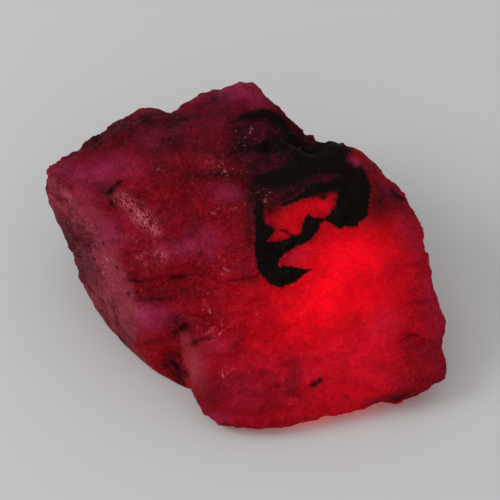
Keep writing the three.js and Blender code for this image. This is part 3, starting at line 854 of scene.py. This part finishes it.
    # Painted glints: flakes, which crowd together in places, and pale hairs in the frost
    curl = noise(drawn_out(sparkled, 0.7), spacing=0.42, detail=2.0, seed=11.0).maths("ABSOLUTE")
    crowd = mark("sparkle") * rise(middling, -0.1, 0.1)
    painted_glint = (1 - rise(curl, 0.0, FLAKE_WIDTH)) * rise(small_draw, 0.985 - crowd * 0.8, 1.05 - crowd * 0.1)
    painted_hair_glint = (1 - rise(brush.maths("ABSOLUTE"), 0.0, HAIR_WIDTH)) * rise(small_draw, 0.1, 0.7) * mark("frost_and_sheen")
    glint = painted_glint.maths("MAXIMUM", painted_hair_glint) * (1 - dusk_and_shade * 0.4)
    colour = blend(painted_glint * 0.75, colour, GLINT)
    colour = blend(painted_hair_glint * 0.9, colour, FROST_AND_SHEEN_PINK)

    # Dark cracks, which are also painted shade along the ledges' steps, and pale scratches and painted
    # glints
    from_crack = mark("crack") + fine * 0.5 + middling * 0.45
    cracked_and_shaded = 1 - rise(from_crack, *CRACK_EDGE)
    cracked_and_shaded = cracked_and_shaded * (0.6 + rise(broad * 0.5 - middling, -0.12, 0.08) * 0.4)
    colour = blend(cracked_and_shaded * 0.95, colour, MAROON)
    scratch_and_glint = (1 - rise(mark("pale") + fine * 0.3, *SCRATCH_AND_GLINT_EDGE)) * 0.5
    colour = blend(scratch_and_glint, colour, PALE_SCRATCH_AND_GLINT)

    # Black matrix, with an edge that feathers out where it lies in smoke
    feathered = from_matrix + smoke * layered * 2.5
    grown_in = 1 - rise(feathered, MATRIX_EDGE[0], MATRIX_EDGE[1] + smoke * SMOKY_EDGE_GAIN)
    flecked = (1 - rise(from_fleck, *FLECK_EDGE)) * 0.9
    black = grown_in.maths("MAXIMUM", flecked)
    rock = blend(rise(fine + middling * 0.6, 0.08, 0.25), MATRIX_BLACK, MATRIX_GREY)
    colour = blend(black, colour, rock)

    # The painted glow that stands for the light from below coming through the stone, which dusk and painted
    # shade, matrix and cracks block
    glow = bright * (1 - dusk_and_shade * 0.95) * (1 - black) * (1 - cracked_and_shaded * 0.6)
    glow = glow * (1 + fine * 0.55 + middling * 1.2 + broad * 0.8)
    emission = blend(glow, DARKNESS, GLOW_RED)
    underlit = new("ShaderNodeCombineXYZ", {}, {"X": mark("underglow") * UNDERGLOW_STRENGTH})
    emission = emission.vector("ADD", underlit)

    relief = fine * 0.5 + middling * 0.4 + chip * 0.8 + small_chip * 1.0
    bump_inputs = {"Strength": BUMP_STRENGTH, "Distance": BUMP_DEPTH, "Height": relief}
    bump = new("ShaderNodeBump", {}, bump_inputs, "Normal")

    roughness = ROUGHNESS + middling * 0.3 - glint * 0.2
    shader.inputs["Specular IOR Level"].default_value = SPECULAR_LEVEL
    shader.inputs["Emission Strength"].default_value = EMISSION_STRENGTH
    tree.links.new(colour.socket, shader.inputs["Base Color"])
    tree.links.new(emission.socket, shader.inputs["Emission Color"])
    tree.links.new(roughness.socket, shader.inputs["Roughness"])
    tree.links.new(bump.socket, shader.inputs["Normal"])


finish_ruby(ruby)

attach(rough_stone, "root")
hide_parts("rough_ruby")

# The floor and the light
# A plain pale floor. One wide light high on the left gives the soft shadow on the right, and an even
# pale surround fills in the rest.
FLOOR_HALF = 1.0
FLOOR_PAINT = (0.64, 0.64, 0.64, 1)
FLOOR_ROUGHNESS = 0.8
WHITE = (1, 1, 1, 1)
SURROUND_STRENGTH = 0.63
LIGHT_PLACE = (-0.32, -0.02, 0.28)
LIGHT_SIZE = 0.22
LIGHT_WATTS = 0.55

floor_mesh = bpy.data.meshes.new("pale_floor")
corners = [(x * FLOOR_HALF, y * FLOOR_HALF, 0) for x, y in ((-1, -1), (1, -1), (1, 1), (-1, 1))]
floor_mesh.from_pydata(corners, [], [(0, 1, 2, 3)])
floor_paint = bpy.data.materials.new("pale_paint")
floor_paint.use_nodes = True
floor_shader = floor_paint.node_tree.nodes["Principled BSDF"]
floor_shader.inputs["Base Color"].default_value = FLOOR_PAINT
floor_shader.inputs["Roughness"].default_value = FLOOR_ROUGHNESS
floor_mesh.materials.append(floor_paint)
floor = bpy.data.objects.new("pale_floor", floor_mesh)
bpy.context.scene.collection.objects.link(floor)

world = bpy.data.worlds.new("surround")
world.use_nodes = True
background = world.node_tree.nodes["Background"]
background.inputs["Color"].default_value = WHITE
background.inputs["Strength"].default_value = SURROUND_STRENGTH
bpy.context.scene.world = world

light_data = bpy.data.lights.new("wide_light", "AREA")
light_data.shape = "DISK"
light_data.size = LIGHT_SIZE
light_data.energy = LIGHT_WATTS
light = bpy.data.objects.new("wide_light", light_data)
aim = Vector(LIGHT_PLACE).to_track_quat("Z", "Y")
light.matrix_world = Matrix.LocRotScale(Vector(LIGHT_PLACE), aim, None)
bpy.context.scene.collection.objects.link(light)

bpy.context.scene.view_settings.view_transform = "Standard"
